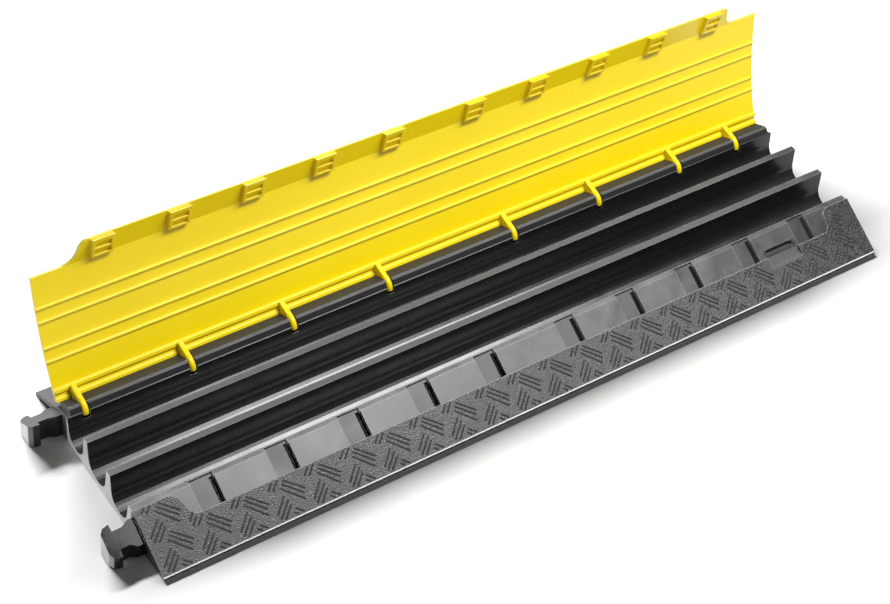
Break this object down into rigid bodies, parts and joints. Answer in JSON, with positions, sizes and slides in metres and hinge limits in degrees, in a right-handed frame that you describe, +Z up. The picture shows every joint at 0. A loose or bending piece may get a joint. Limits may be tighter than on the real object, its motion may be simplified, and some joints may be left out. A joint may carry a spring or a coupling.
{
  "type": "floor cord cover",
  "caption": "Drive-over floor cord cover: a low ramp with parallel cable channels, a hinged lid that closes over them, and end hooks and sockets for joining covers in a row.",
  "frame": {"origin": "middle of the moulding's footprint, without its hooks, on the floor", "axes": "+X along the length from the hooks to the sockets, +Y from the front ramp to the hinge, +Z up"},
  "size_m": [1.0385, 0.2907, 0.2071],
  "materials": {
    "black_rubber": "moulded black rubber-like polyurethane, satin, pebble grain on the front ramp",
    "yellow_plastic": "moulded safety-yellow plastic, satin",
    "steel": "plain drawn rod"
  },
  "bodies": {
    "base": {"base": "black_rubber", "hinge_rod": "steel"},
    "lid": {"lid": "yellow_plastic"}
  },
  "joints": [
    {"name": "lid_hinge", "type": "hinge", "parent": "base", "child": "lid", "pos_m": [0, 0.081, 0.034], "axis": [1, 0, 0], "range_deg": [0, 111.8]}
  ]
}
